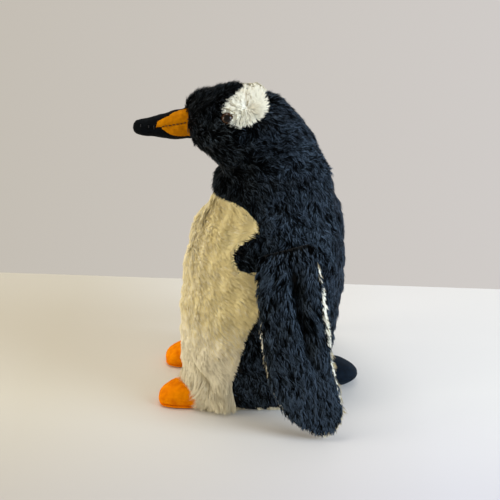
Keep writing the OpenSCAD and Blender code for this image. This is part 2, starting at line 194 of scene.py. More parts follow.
def waves(seed, size, count=8):
    """A smooth random field: sums of sine waves of about that length, with a spread near 1."""
    draw = np.random.default_rng(seed)
    ways = draw.normal(size=(count, 3))
    ways *= 2 * math.pi / size / np.linalg.norm(ways, axis=1, keepdims=True)
    ways *= draw.uniform(0.6, 1.5, (count, 1))
    shift = draw.uniform(0, 2 * math.pi, count)
    return lambda p: np.sin(p @ ways.T + shift).sum(-1) / math.sqrt(count / 2)


def ramp(v, low, high):
    """0 below low, 1 above high, and smooth in between."""
    t = np.clip((v - low) / (high - low), 0, 1)
    return t * t * (3 - 2 * t)


def hump(v, middle, width):
    """1 at the middle, falling to 0 a few widths away."""
    return np.exp(-((v - middle) / width) ** 2)


def unit(v):
    return v / np.maximum(np.linalg.norm(v, axis=-1, keepdims=True), 1e-9)


belly_line = curve_through(BELLY_OUTLINE)
strap_line = curve_through(STRAP_OUTLINE)


# ---- materials

PLAIN = (1, 1, 1)


def new_material(name, roughness=0.7, sheen=0.0, sheen_tint=PLAIN, shine=0.2, shine_tint=PLAIN):
    material = bpy.data.materials.new(name)
    material.use_nodes = True
    shader = material.node_tree.nodes["Principled BSDF"]
    for socket, value in (("Roughness", roughness), ("Specular IOR Level", shine),
                          ("Specular Tint", (*shine_tint, 1)), ("Sheen Weight", sheen),
                          ("Sheen Roughness", 0.4), ("Sheen Tint", (*sheen_tint, 1))):
        shader.inputs[socket].default_value = value
    return material, material.node_tree, shader


def node_tools(tree):
    """A maker of nodes with values for their sockets, and the function that links sockets."""
    def add(kind, **values):
        node = tree.nodes.new("ShaderNode" + kind)
        for socket, value in values.items():
            node.inputs[socket.replace("_", " ")].default_value = value
        return node
    return add, tree.links.new


def colour_ramp(add, first, last, start=0.0, end=1.0):
    """A ramp from the first colour at start to the last at end."""
    node = add("ValToRGB")
    for stop, place, colour in zip(node.color_ramp.elements, (start, end), (first, last)):
        stop.position, stop.color = place, (*colour, 1)
    return node


def colour_mix(add, blend):
    """A node that mixes colours, with its two colour inputs."""
    node = add("Mix")
    node.data_type, node.blend_type = "RGBA", blend
    return node, node.inputs[6], node.inputs[7]


def mottled(name, dark, light, size, roughness=0.7, sheen=0.0, sheen_tint=PLAIN, bump=0.3,
            grain=0.6, weave=False, shine=0.2):
    """Cloth whose colour wanders between two tones over size mm, with grain mm wide bumps."""
    material, tree, shader = new_material(name, roughness, sheen, sheen_tint, shine)
    add, link = node_tools(tree)
    place = add("TexCoord").outputs["Object"]
    broad = add("TexNoise", Scale=1 / (size * MM), Detail=6)
    colours = colour_ramp(add, dark, light, 0.32, 0.68)
    link(place, broad.inputs["Vector"])
    link(broad.outputs["Fac"], colours.inputs["Fac"])
    link(colours.outputs["Color"], shader.inputs["Base Color"])
    fine = add("TexVoronoi" if weave else "TexNoise", Scale=1 / (grain * MM))
    relief = add("Bump", Strength=bump, Distance=0.4 * grain * MM)
    link(place, fine.inputs["Vector"])
    link(fine.outputs[0], relief.inputs["Height"])
    link(relief.outputs["Normal"], shader.inputs["Normal"])
    return material


TONES = 6               # of each pile, from dark to light


def tones(name, colour, factors, roughness, sheen, sheen_tint=PLAIN, shines=(0.2,) * TONES,
          shine_tint=PLAIN):
    """One material for each tone of a pile; every lock takes one, and its root a darker one as
    painted shade.
    """
    out = []
    for i, (factor, shine) in enumerate(zip(factors, shines)):
        material, _, shader = new_material(f"{name}_{i}", roughness, sheen, sheen_tint, shine,
                                           shine_tint)
        shader.inputs["Base Color"].default_value = (*(c * factor for c in colour), 1)
        out.append(material)
    return out


# ---- mesh tools

def add_object(name, mesh, materials):
    mesh.shade_smooth()
    for material in materials:
        mesh.materials.append(material)
    thing = bpy.data.objects.new(name, mesh)
    bpy.context.scene.collection.objects.link(thing)
    return thing


def mesh_object(name, points, polygons, material):
    """A smooth object from points in mm and the lists of their polygons."""
    mesh = bpy.data.meshes.new(name)
    mesh.from_pydata((points * MM).tolist(), [], polygons)
    return add_object(name, mesh, [material])


def capped(name, rings, material):
    """A closed mesh through rings from the bottom up, with a fan at each end."""
    count, n = rings.shape[:2]
    first_hub, top = count * n, (count - 1) * n
    caps = [[first_hub, (i + 1) % n, i] for i in range(n)]
    caps += [[first_hub + 1, top + i, top + (i + 1) % n] for i in range(n)]
    points = np.concatenate([rings.reshape(-1, 3), [rings[0].mean(0), rings[-1].mean(0)]])
    return mesh_object(name, points, grid_faces(count, n).tolist() + caps, material)


def dress(piece, body, slot, fill, *nodes):
    """Hides the CAD nodes a piece stands for and puts it on its body; slot and fill are not used.
    """
    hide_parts(*nodes)
    if body == "neck":
        bend_neck(piece)
    else:
        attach(piece, body)


def shell(name, outer, inner, faces, material):
    """A closed piece of fabric: outer faces, the same faces on the inner side, and its edge."""
    used, local = np.unique(faces, return_inverse=True)
    f = local.reshape(faces.shape)
    n = len(used)
    edges = np.stack([f, np.roll(f, -1, 1)], -1).reshape(-1, 2)
    key = np.sort(edges, 1)
    code = key[:, 0].astype(np.int64) * n + key[:, 1]
    _, first, count = np.unique(code, return_index=True, return_counts=True)
    rim = edges[first[count == 1]]
    around = np.stack([rim[:, 1], rim[:, 0], rim[:, 0] + n, rim[:, 1] + n], -1)
    everything = np.concatenate([f, f[:, ::-1] + n, around])
    points = np.concatenate([outer[used], inner[used]])
    return mesh_object(name, points, everything.tolist(), material)


def ring_angles(count):
    return np.linspace(0, 2 * math.pi, count, endpoint=False)


def grid_faces(rows, columns, closed=True):
    """Quads of a grid of rings (closed) or of open rows, facing out when the rings go up."""
    j, i = np.meshgrid(np.arange(rows - 1), np.arange(columns if closed else columns - 1),
                       indexing="ij")
    k = (i + 1) % columns
    return np.stack([j * columns + i, j * columns + k, (j + 1) * columns + k,
                     (j + 1) * columns + i], -1).reshape(-1, 4)


def grid_normals(points, closed=True):
    """Outward normals of a grid of rings, by the differences of its neighbours."""
    around = (np.roll(points, -1, 1) - np.roll(points, 1, 1) if closed
              else np.gradient(points, axis=1))
    return unit(np.cross(around, np.gradient(points, axis=0)))


class Surface:
    """A grid of points that locks of pile can be planted on."""

    def __init__(self, points, closed=True):
        self.points = points
        self.normals = grid_normals(points, closed)
        self.closed = closed
        a, b, c, d = self.corners(points)
        self.area = (np.linalg.norm(np.cross(b - a, d - a), axis=-1)
                     + np.linalg.norm(np.cross(b - c, d - c), axis=-1)) / 2

    def corners(self, values):
        if self.closed:
            right = np.roll(values, -1, 1)
            return values[:-1], right[:-1], right[1:], values[1:]
        return values[:-1, :-1], values[:-1, 1:], values[1:, 1:], values[1:, :-1]

    def scatter(self, per_mm2, rng):
        """Random points on the grid, and their normals."""
        share = self.area.ravel() / self.area.sum()
        count = int(self.area.sum() * per_mm2)
        cell = rng.choice(len(share), count, p=share)
        j, i = np.divmod(cell, self.area.shape[1])
        s, t = rng.random((2, count))[..., None]

        def between(values):
            a, b, c, d = (v[j, i] for v in self.corners(values))
            return (a * (1 - s) + b * s) * (1 - t) + (d * (1 - s) + c * s) * t
        return between(self.points), unit(between(self.normals))


# ---- pile

# A lock's corners: three across its root (0, 1, 2), three across its middle, and its tip (6).
LOCK_FACES = [(0, 3, 4, 1), (1, 4, 5, 2), (3, 6, 4), (4, 6, 5)]
LOCK_RIDGE = 0.75       # height of a lock's ridge over its half width
ROOT_SHARE = 0.8        # width of a lock's root over the width of its middle
ROOT_SHADE = 2          # tones by which the faces at a lock's root are darker, painted shade where the locks cover them
LOWEST_PILE = 0.25      # no lock reaches further down
MOST_LOCKS = 32000      # in one piece, so that no piece passes 200,000 triangles


def turned(way, normal, angle):
    """A tangent turned about the normal."""
    side = np.cross(normal, way)
    return way * np.cos(angle)[:, None] + side * np.sin(angle)[:, None]


def flat_on(normal, way):
    return unit(way - (way * normal).sum(-1, keepdims=True) * normal)


def gather(root, way, side, per_clump, stretch, rng):
    """For each root, how far aside the ridge of its clump lies, and a number for that clump.

    Clumps are longer along the pile's way than across it, by 1 / stretch.
    """
    middles = root[rng.choice(len(root), max(8, len(root) // per_clump), replace=False)]
    tree = KDTree(len(middles))
    for k, p in enumerate(middles):
        tree.insert(p, k)
    tree.balance()
    near = np.array([[k for _, k, _ in tree.find_n(p, 6)] for p in root])
    off = middles[near] - root[:, None]
    aside = (off * side[:, None]).sum(-1)
    along = (off * way[:, None]).sum(-1)
    best = (aside ** 2 + (stretch * along) ** 2).argmin(1)
    rows = np.arange(len(root))
    return aside[rows, best], near[rows, best]


def grow(name, root, normal, way, materials, length, width, lift, tip_lift, swirl, jitter, wave,
         seed, other=None, clump=0.8, per_clump=20, stretch=0.35, contrast=1.0, rough=1.0,
         painted_light=0.0):
    """Locks of pile from the roots along way, rising by lift at the root and tip_lift at the tip.

    swirl turns neighbouring locks together, jitter each on its own, and wave bends each sideways.
    clump draws the locks of a clump to its ridge and paints shade on the locks at its edges and
    light on those at its ridge; contrast is how much their tones differ, that painted shade
    included; rough how much their lift does, and painted_light moves their tones up or down by
    place, as painted light and shade. other is a second set of materials and the share of the
    locks that takes it.
    """
    rng = np.random.default_rng(seed)
    n = len(root)
    coherent = waves(seed * 7 + 1, 15.0)(root)
    fine = waves(seed * 7 + 2, 5.0)(root)
    way = flat_on(normal, way)
    way = turned(way, normal, swirl * coherent + 0.4 * swirl * fine)
    side = np.cross(normal, way)
    aside, number = gather(root, way, side, per_clump, stretch, rng)
    apart = np.abs(aside)
    outer = apart / apart.mean()
    own = rng.normal(size=number.max() + 1)[number]
    way = turned(way, normal, jitter * rng.normal(size=n) + 0.5 * jitter * own)
    side = np.cross(normal, way)
    length = length * np.clip(rng.normal(1, 0.1, n) + 0.06 * own, 0.5, 1.6)
    width = width * rng.uniform(0.7, 1.25, n)
    lift = np.radians(lift) + 0.08 * rough * (rng.normal(size=n) + own)
    tip_lift = np.radians(tip_lift) + 0.07 * rough * (rng.normal(size=n) + own)
    phase = 3.0 * waves(seed * 7 + 4, 7.0)(root) + 0.35 * own + rng.normal(0, 0.2, n)
    line = [root]
    for t in (0.25, 0.75):
        rise = lift + (tip_lift - lift) * t
        bend = wave * np.sin(phase + 3 * t)
        out = way * np.cos(bend)[:, None] + side * np.sin(bend)[:, None]
        step = (out * np.cos(rise)[:, None] + normal * np.sin(rise)[:, None]) \
            * (length * 0.5)[:, None]
        line.append(line[-1] + step + side * (0.45 * clump * aside)[:, None])
    drop = normal * (clump * 1.7 * np.maximum(apart - 0.1, 0))[:, None]
    line = [line[0], line[1] - 0.5 * drop, line[2] - drop]
    rows = []
    for centre, share in zip(line, (ROOT_SHARE, 1.0)):
        w = (width * share / 2)[:, None]
        rows += [centre - side * w, centre + normal * w * LOCK_RIDGE, centre + side * w]
    points = np.stack([*rows, line[2]], 1)
    points[..., 2] = np.maximum(points[..., 2], LOWEST_PILE)
    # Painted shade and light: locks at a clump's edge take darker tones and those at its ridge
    # lighter ones; the other terms are random tone.
    shade = (0.2 * waves(seed * 7 + 5, 9.0)(root) + 0.25 * own + rng.normal(0, 0.25, n)
             + 2.2 * clump * (0.85 - outer)) * contrast + painted_light
    last = len(materials) - 1
    tone = np.clip(np.round(last / 2 + shade), 0, last).astype(np.int32)
    if other is not None:
        materials = [*materials, *other[0]]
        tone += (last + 1) * (rng.random(n) < other[1])
    pieces = []
    parts = max(1, math.ceil(n / MOST_LOCKS))
    order = np.argsort(root[:, 2], kind="stable")
    for part in range(parts):
        pick = order[part * n // parts:(part + 1) * n // parts]
        label = name if parts == 1 else f"{name}_{part + 1}"
        pieces.append(lock_mesh(label, points[pick], tone[pick], materials))
    return pieces


def lock_mesh(name, points, tone, materials):
    """One object of many locks, from the corners and the tone of each."""
    n, size = points.shape[:2]
    lock = np.arange(n, dtype=np.int32)[:, None]
    index = (lock * size + np.array(sum(LOCK_FACES, ()), np.int32)).ravel()
    totals = np.array([len(f) for f in LOCK_FACES], np.int32)
    starts = (lock * totals.sum() + (np.cumsum(totals) - totals).astype(np.int32)).ravel()
    slots = np.repeat(tone[:, None], len(LOCK_FACES), 1)
    # Painted shade: the faces at a lock's root take a darker tone.
    slots[:, :2] = tone[:, None] - np.minimum(tone[:, None] % TONES, ROOT_SHADE)
    mesh = bpy.data.meshes.new(name)
    mesh.vertices.add(n * size)
    mesh.vertices.foreach_set("co", (points * MM).astype(np.float32).ravel())
    mesh.loops.add(len(index))
    mesh.loops.foreach_set("vertex_index", index)
    mesh.polygons.add(len(starts))
    mesh.polygons.foreach_set("loop_start", starts)
    mesh.polygons.foreach_set("material_index", slots.ravel().astype(np.int32))
    mesh.update(calc_edges=True)
    return add_object(name, mesh, materials)


def bend_neck(*things):
    for thing in things:
        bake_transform(thing)


def ride(body, *things):
    for thing in things:
        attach(thing, body)


# ---- colours

DARK = (0.0076, 0.0112, 0.0172)
CREAM = (0.88, 0.81, 0.61)
GOLD = (0.86, 0.74, 0.385)
WHITE = (0.96, 0.935, 0.80)

BELLY_FACTORS = (0.9, 0.95, 0.98, 1.0, 1.02, 1.04)

# The dark pile's tones are darker and lighter copies of one colour, with less shine on the darker
# ones: the darkest stand for painted shade in the gaps, the lightest for painted light on lit
# ridges.
dark_tones = tones("dark pile", DARK, (0.01, 0.04, 0.16, 0.7, 2.4, 5.4), 0.5, 0.01,
                   (0.6, 0.8, 1.0), (0.02, 0.04, 0.08, 0.16, 0.26, 0.36), (0.60, 0.82, 1.0))
cream_tones = tones("cream pile", CREAM, BELLY_FACTORS, 0.75, 0.25)
gold_tones = tones("gold pile", GOLD, BELLY_FACTORS, 0.75, 0.25)
white_tones = tones("white pile", WHITE, (0.8, 0.9, 0.96, 1.0, 1.02, 1.03), 0.65, 0.2)
dark_cloth = mottled("dark backing", (0.001, 0.0012, 0.0016), (0.003, 0.004, 0.0055), 6, 0.8,
                     0.05)
cream_cloth = mottled("cream backing", (0.80, 0.71, 0.45), (0.88, 0.80, 0.56), 7, 0.8, 0.2)
white_cloth = mottled("white backing", (0.78, 0.76, 0.66), (0.88, 0.86, 0.76), 5, 0.8, 0.2)


# ---- body and head

lumps = waves(31, 34.0)
dents = waves(32, 13.0)


def body_relief(p):
    """How far the stuffed surface stands out of its plain form, in mm along the normal."""
    y, z = p[..., 1], p[..., 2]
    crease = 2.2 * hump(z, NECK_SEAM + 0.04 * (y + 20), 3.0) * (1 - ramp(y, 5, 42))
    fold = 2.6 * hump(z, 36 - (y + 42), 2.6) - 0.8 * hump(z, 31 - (y + 42), 3.0)
    fold *= ramp(y, -46, -40) * (1 - ramp(y, -24, -16))
    soft = 0.8 * hump(z, 58 - 0.8 * (y + 20), 4.5) * ramp(y, -34, -24) * (1 - ramp(y, -8, 2))
    out = 0.7 * lumps(p) + 0.28 * dents(p) - crease - fold - soft
    return out * ramp(z, 1.0, 9.0) * (1 - 0.5 * ramp(z, 205, 212))


def body_grid():
    """The backing's outer and inner side, as rings from the base up."""
    heights = np.concatenate([np.linspace(0, 200, 116), np.linspace(201.5, DESIGN_HEIGHT, 14)])
    v, a = np.meshgrid(heights, ring_angles(190), indexing="ij")
    plain = ring_points(BODY, v, a, PILE, body_power(v))
    normals = grid_normals(plain)
    skin = plain + normals * body_relief(plain)[..., None]
    skin[0, :, 2] = 0.4
    return skin, skin - normals * BACKING


def snapped(points, faces, member, outline, reach):
    """Moves the points between members and others onto the outline, as seen from the side."""
    touch = np.zeros((2, len(points)), bool)
    touch[0, faces[member].ravel()] = True
    touch[1, faces[~member].ravel()] = True
    edge = np.flatnonzero(touch[0] & touch[1])
    target, gap = nearest_on(outline, points[edge, 1], points[edge, 2])
    near = gap < reach
    points[edge[near], 1:] = target[near]


skin, lining = body_grid()
body_surface = Surface(skin)
flat_skin, flat_lining = skin.reshape(-1, 3), lining.reshape(-1, 3)
faces = grid_faces(*skin.shape[:2])
centre = flat_skin[faces].mean(1)
in_belly = inside(belly_line, centre[:, 1], centre[:, 2])
in_strap = inside(strap_line, centre[:, 1], centre[:, 2]) & (centre[:, 2] > STRAP_FROM)
before = flat_skin.copy()
snapped(flat_skin, faces, in_belly, belly_line, 1.5)
snapped(flat_skin, faces, in_strap, strap_line, 1.5)
flat_lining += flat_skin - before
of_head = centre[:, 2] > NECK_SEAM
on_left = centre[:, 0] > 0


dark_back = ~in_belly & ~in_strap & ~of_head
dark_head = ~in_belly & ~in_strap & of_head
for name, member, cloth, slot, body, nodes in (
        ("belly_fabric", in_belly, cream_cloth, "fur_cream", "torso",
         ["belly_panel", "body_stuffing"]),
        ("back_fabric_left", dark_back & on_left, dark_cloth, "fur_dark", "neck",
         ["back_panel_left"]),
        ("back_fabric_right", dark_back & ~on_left, dark_cloth, "fur_dark", "neck",
         ["back_panel_right"]),
        ("head_fabric_left", dark_head & on_left, dark_cloth, "fur_dark", "neck",
         ["head_panel_left", "head_stuffing"]),
        ("head_fabric_right", dark_head & ~on_left, dark_cloth, "fur_dark", "neck",
         ["head_panel_right"]),
        ("crown_fabric", in_strap, white_cloth, "fur_white", "neck", ["crown_strap"])):
    dress(shell(name, flat_skin, flat_lining, faces[member], cloth), body, slot, 0.85, *nodes)

EYE_Y, EYE_Z, EYE_X, EYE_TILT = -14.0, 197.1, 28.3, 12.0
EYE_CLEAR = 2.2         # no lock is rooted this near to an eye's middle
BEAK_ROOT = np.array((0.0, -44.0, 187.0))


def body_flow(p):
    """Which way the dark pile lies, before it is laid flat on the surface."""
    x, y, z = p.T
    head = ramp(z, 150, 172)
    from_beak = unit(p - BEAK_ROOT)
    down = np.stack([0.12 * np.tanh(x / 8), 0.25 + 0 * y, -1 + 0 * z], -1)
    back = from_beak + np.stack([0 * x, 0.9 + 0 * y, -0.35 - 0.5 * ramp(y, 0, 30)], -1)
    flow = down * (1 - head)[:, None] + back * head[:, None]
    front = ramp(-y, 8, 18) * hump(z, 148, 9)
    flow += front[:, None] * np.array((0, -1.0, -0.6))
    return flow


def belly_flow(p):
    """Down and back, and towards the seams and the tip of the dark shoulder."""
    x, y, z = p.T
    side = np.tanh(x / 12)
    high, low = ramp(z, 60, 95), 1 - ramp(z, 12, 40)
    ahead = low * ramp(-y, 20, 34)
    flow = np.stack([(0.4 + 0.25 * low) * side, 0.7 + 0.3 * high - 0.65 * low - 1.1 * ahead,
                     -0.8 + 0.35 * high - 0.2 * low], -1)
    tip = np.stack([side * 44, 0 * y + 3, 0 * z + 129], -1) - p
    near = hump(np.linalg.norm(tip, axis=1), 0, 17)
    return flow + 2.2 * near[:, None] * unit(tip)


def strap_flow(p):
    """Away from the middle of the band over each eye."""
    middle = np.stack([np.sign(p[:, 0]) * 23.0, -1.5 + 0 * p[:, 1], 203.5 + 0 * p[:, 2]], -1)
    return p - middle


def beside_eye(p):
    return np.hypot(p[:, 1] - EYE_Y, p[:, 2] - EYE_Z) < EYE_CLEAR


def in_band(p):
    return inside(strap_line, p[:, 1], p[:, 2]) & (p[:, 2] > STRAP_FROM)


def plant_body():
    """The pile of the body and the head: dark, cream and white."""
    rng = np.random.default_rng(11)
    spots, normals = body_surface.scatter(3.5, rng)
    belly = inside(belly_line, spots[:, 1], spots[:, 2])
    kept = belly | (rng.random(len(spots)) < 0.78)
    spots, normals, belly = spots[kept], normals[kept], belly[kept]
    x, y, z = spots.T
    beak = (y < -38) & (np.abs(x) < 9.5) & (np.abs(z - 187) < 9.0)
    free = ~beak & ~beside_eye(spots) & (z > 0.8)
    dark = ~belly & ~in_band(spots) & free
    left = x > 0
    head = z > NECK_SEAM

    _, gap = nearest_on(belly_line, y, z)
    near = 1 - ramp(gap, 1.0, 5.5)
    _, gap = nearest_on(strap_line, y, z)
    near_strap = (1 - ramp(gap, 1.0, 5.0)) * (z > STRAP_FROM)

    def dark_pile(name, pick, seed, length, lift, tip_lift, swirl):
        p = spots[pick]
        _, y, z = p.T
        crown = ramp(z, 196, 208)
        chin = ramp(-y, 10, 22) * ramp(z, 138, 146) * (1 - ramp(z, 172, 182))
        neck = hump(z, 154, 7) * ramp(-y, 2, 14)
        seam = hump(z, 118 + 0.25 * (y - 23), 3) * (np.abs(y - 23) < 17)
        short = np.maximum(near[pick], near_strap[pick])
        lift = lift + 24 * crown + 4 * chin - 8 * short + 26 * neck + 12 * seam
        length = length * (1 - 0.45 * (1 - ramp(z, 2, 14))) * (1 - 0.5 * short)
        # Painted shade: the dark pile on the front from z 90 up (shoulders, neck and face) is much
        # darker, the nape a little darker.
        front = ramp(-y, -16, 10) * ramp(z, 90, 115)
        nape = ramp(y, 12, 32) * ramp(z, 95, 150)
        bend_neck(*grow(name, p, normals[pick], body_flow(p), dark_tones, length, 0.5, lift,
                        tip_lift + 14 * crown, swirl, 0.04, 0.5, seed, contrast=1.25,
                        stretch=0.2, per_clump=12, clump=0.95, rough=0.45,
                        painted_light=-0.1 * nape - 1.1 * front - 0.15))

    for label, sided, seed in (("left", left, 41), ("right", ~left, 51)):
        dark_pile(f"back_pile_{label}", dark & ~head & sided, seed, 6.2, 20, 4, 0.3)
        dark_pile(f"head_pile_{label}", dark & head & sided, seed + 3, 6.4, 27, 8, 0.55)

    pick = belly & free
    p, n = spots[pick], normals[pick]
    x, y, z = p.T
    low = 1 - ramp(z, 6, 22)
    corner = (1 - ramp(z, 20, 30)) * ramp(-y, 4, 16) * ramp(np.abs(x), 10, 22)
    tip = hump(z, 129, 9) * ramp(y, -14, -4)
    length = 5.0 * (1 + 0.2 * low + 0.75 * corner + 0.4 * tip)
    length *= 1 - 0.55 * np.clip(near[pick] - 1.6 * tip - low, 0, 1)
    gold = 0.95 * ramp(z, 35, 75) * (0.55 + 0.45 * ramp(y, -45, -15))
    ride("torso", *grow("belly_pile", p, n, belly_flow(p), cream_tones, length, 0.45,
                        20 + 32 * corner, 9 + 18 * corner, 0.14, 0.05, 0.16, 61,
                        other=(gold_tones, gold), clump=0.2 + 0.4 * corner, per_clump=8,
                        stretch=0.2, contrast=0.5, rough=0.15 + 0.4 * corner))

    p, n = body_surface.scatter(7.5, rng)
    pick = in_band(p) & ~beside_eye(p)
    p, n = p[pick], n[pick]
    _, gap = nearest_on(strap_line, p[:, 1], p[:, 2])
    inner = ramp(gap, 0, 7)
    ride("head", *grow("crown_pile", p, n, strap_flow(p), white_tones, 4.2 + 0.8 * inner, 0.55,
                       28 + 18 * inner, 14 + 14 * inner, 0.2, 0.12, 0.2, 71, clump=0.45,
                       per_clump=24, stretch=0.6, contrast=0.6, rough=0.7))


# ---- base

def base_fabric():
    """The flat panel that the toy stands on, with a rounded rim."""
    edge = ring_points(BODY, np.zeros(120), ring_angles(120), PILE, BASE_POWER)
    rings = []
    for share, height in ((0.05, 0.5), (0.4, 0.25), (0.75, 0.05), (0.93, 0.02), (1.0, 0.5),
                          (1.0, 2.2), (0.96, 3.0), (0.5, 3.0), (0.05, 3.0)):
        ring = edge * share
        ring[:, 2] = height
        ring[:, 1] += (1 - share) * 2
        rings.append(ring)
    dress(capped("base_fabric", np.array(rings), cream_cloth), "torso", "fur_cream", 0.6,
          "base_panel")


def base_fringe():
    """The base's pile where it shows round the foot of the body, longest at the front."""
    rng = np.random.default_rng(81)
    n = 2600
    spots = ring_points(BODY, np.zeros(n), rng.uniform(0, 2 * math.pi, n), PILE - 0.4, BASE_POWER)
    spots[:, 2] = rng.uniform(0.7, 3.0, n)
    out = unit(np.stack([spots[:, 0], spots[:, 1] - 2, np.zeros(n)], -1))
    normal = unit(out + np.array((0, 0, 0.9)))
    way = out + np.array((0, 0, -0.75))
    front = ramp(-spots[:, 1], -2, 12)
    length = 2.2 + 4.4 * front
    ride("torso", *grow("base_pile", spots, normal, way, cream_tones, length, 0.8, 5, 5, 0.3, 0.3,
                        0.3, 82, clump=0.6, per_clump=9))


# ---- flippers

# Distance from the seam, front edge and rear edge.
FLIPPER = np.array([
    (-2.5, -16, 16), (0, -19.5, 19.5), (10, -22, 18.8), (22, -25, 18), (41, -28.8, 15.5),
    (58, -31, 13.6), (72, -32, 12), (83, -31.4, 11.6), (92, -29.4, 11.8), (100, -25.4, 11.4),
    (106.3, -20.8, 10), (111, -16.4, 7.8), (114.6, -11.6, 4.4), (116.4, -7.5, 0.5),
], float)
FLIPPER_LENGTH = 116.4
FLIPPER_RIM = 1.6       # from the edge of the pile to the edge of the fabric
SEAM = (50.5, 23.0, 115.5)
FLARE, SLOPE, TURN = 16.0, 14.0, 4.0        # degrees out, back and about the upright


def flipper_matrix():
    """From the left flipper's own frame (out, back, up from the seam) to the figure's."""
    turn, slope, flare = (Matrix.Rotation(math.radians(angle), 4, axis)
                          for angle, axis in ((TURN, "Z"), (SLOPE, "X"), (-FLARE, "Y")))
    return np.array(Matrix.Translation(SEAM) @ (turn @ slope @ flare))


def blade_half(s):
    """Half thickness of the stuffed blade under its pile."""
    body = 1.6 + 0.9 * np.sin(np.clip(s / 40, 0, 1) * math.pi / 2)
    return np.where(s < 0, 1.3, body - 1.9 * np.clip((s - 88) / (FLIPPER_LENGTH - 88), 0, 1) ** 2)


def groove_middle(s):
    """Where across the blade the long groove of its outer face runs, at s from the seam."""
    return -2.5 + 4.5 * (1 - ramp(s, 0, 45)) + 4.5 * ramp(s, 60, 95)


def blade_points(face):
    """One face of the blade in its own frame: rows down it, columns from the front edge back."""
    root = [-2.5, 0] if face > 0 else []
    s = np.concatenate([root, np.linspace(2, 113.5, 66), [115, FLIPPER_LENGTH]])
    v, w = np.meshgrid(s, np.linspace(-1, 1, 41), indexing="ij")
    front, back = smooth_at(FLIPPER, 1, v) + FLIPPER_RIM, smooth_at(FLIPPER, 2, v) - FLIPPER_RIM
    y = (front + back) / 2 + (back - front) / 2 * np.sin(w * math.pi / 2)
    crown = np.cos(w * math.pi / 2)
    bulge = blade_half(v) * crown
    if face > 0:
        groove = 5.2 * hump(y, groove_middle(v), 3.8) * ramp(v, 3, 14) * (1 - ramp(v, 45, 88))
        fuller = 1.1 * crown ** 0.5 * ramp(v, 0, 15) * (1 - ramp(v, 70, 100))
        bulge = bulge + (fuller - groove) * crown ** 0.3
    ripple = 0.35 * waves(91, 22.0)(np.stack([0 * v, y, v], -1)) * crown
    return np.stack([face * (0.15 + bulge + ripple), y, -v], -1)


def turned_only(ways, matrix, side):
    """Directions of a flipper's own frame in the figure's, on that side."""
    return ways @ matrix[:3, :3].T * np.array((side, 1, 1))


def placed(points, matrix, side):
    """Points of a flipper's own frame in the figure's, on that side."""
    return (points @ matrix[:3, :3].T + matrix[:3, 3]) * np.array((side, 1, 1))


def make_flipper(side, label):
    matrix = flipper_matrix()
    for face, part, cloth, pile, slot in ((1, "outer", dark_cloth, dark_tones, "fur_dark"),
                                          (-1, "inner", cream_cloth, cream_tones, "fur_cream")):
        own = blade_points(face)[:, ::face]
        back = own.copy()
        back[..., 0] = face * 0.08
        sheets = [placed(points, matrix, side)[:, ::-side].reshape(-1, 3)
                  for points in (own, back)]
        quads = grid_faces(*own.shape[:2], closed=False)
        dress(shell(f"flipper_{part}_fabric_{label}", *sheets, quads, cloth),
              f"flipper_{label}", slot, 0.5, f"flipper_{part}_{label}")
        plant_flipper(own, matrix, side, face, label, part, pile)
    flipper_fringe(matrix, side, label)


def plant_flipper(own, matrix, side, face, label, part, pile):
    """The pile of one face; s is the distance from the seam, u runs across from -1 to 1."""
    rng = np.random.default_rng(101 + (face > 0) + 2 * (side > 0))
    surface = Surface(own[:, ::-1], closed=False)
    spots, normals = surface.scatter(2.8 if face > 0 else 2.2, rng)
    if (normals[:, 0] * face).mean() < 0:
        normals = -normals
    y, s = spots[:, 1], -spots[:, 2]
    front, back = smooth_at(FLIPPER, 1, s), smooth_at(FLIPPER, 2, s)
    u = (2 * y - front - back) / (back - front)
    if face > 0:
        rim = np.abs(u) + 0.05 * rng.normal(size=len(u))
        shows = (u > 0) & (rim > 0.94 - 0.13 * hump(s, 44, 24)) & (s > 10) & (s < 98)
        shows |= (u < 0) & (rim > 0.94) & (s > 44) & (s < 98)
    else:
        shows = (s < 9) & (u > 0.5)
    spots, normals, s, y, u = (v[~shows] for v in (spots, normals, s, y, u))
    if face > 0:
        fan = -0.9 * (1 - ramp(s, 8, 40)) * (1 - ramp(u, -0.6, 0.3)) + 0.15 * ramp(s, 60, 100) * u
        across = fan - 0.15 * ramp(u, 0.6, 1.0)
        top = 1 - ramp(s, -1, 5)
        # Painted shade darkens the locks in the outer face's groove, and painted light lightens
        # the lower blade.
        groove_shade = hump(y, groove_middle(s), 3.0) * ramp(s, 2, 10) * (1 - ramp(s, 42, 76))
        length = 8.0 * (1 - 0.35 * ramp(np.abs(u), 0.7, 1.0)) * (1 - 0.35 * ramp(s, 94, 110)) \
            * (1 - 0.4 * top)
        shape = dict(lift=24 + 22 * top, swirl=0.1, jitter=0.04, wave=0.4, contrast=1.4,
                     per_clump=19, stretch=0.16, clump=0.95, rough=0.45,
                     painted_light=0.8 * ramp(s, 55, 95) - 3.0 * groove_shade - 0.15)
    else:
        across = 0.3 * ramp(u, 0.75, 1.0)
        length = 5.2 * (1 - 0.4 * ramp(-u, 0.7, 1.0))
        shape = dict(lift=20, swirl=0.2, jitter=0.12, wave=0.35, clump=0.4)
    flow = np.stack([0 * s, across, -1 + 0 * s], -1)
    ride(f"flipper_{label}", *grow(f"flipper_{part}_pile_{label}", placed(spots, matrix, side),
                                   turned_only(normals, matrix, side),
                                   turned_only(flow, matrix, side), pile, length, width=0.55,
                                   tip_lift=6, seed=111 + 10 * (face > 0) + (side > 0), **shape))


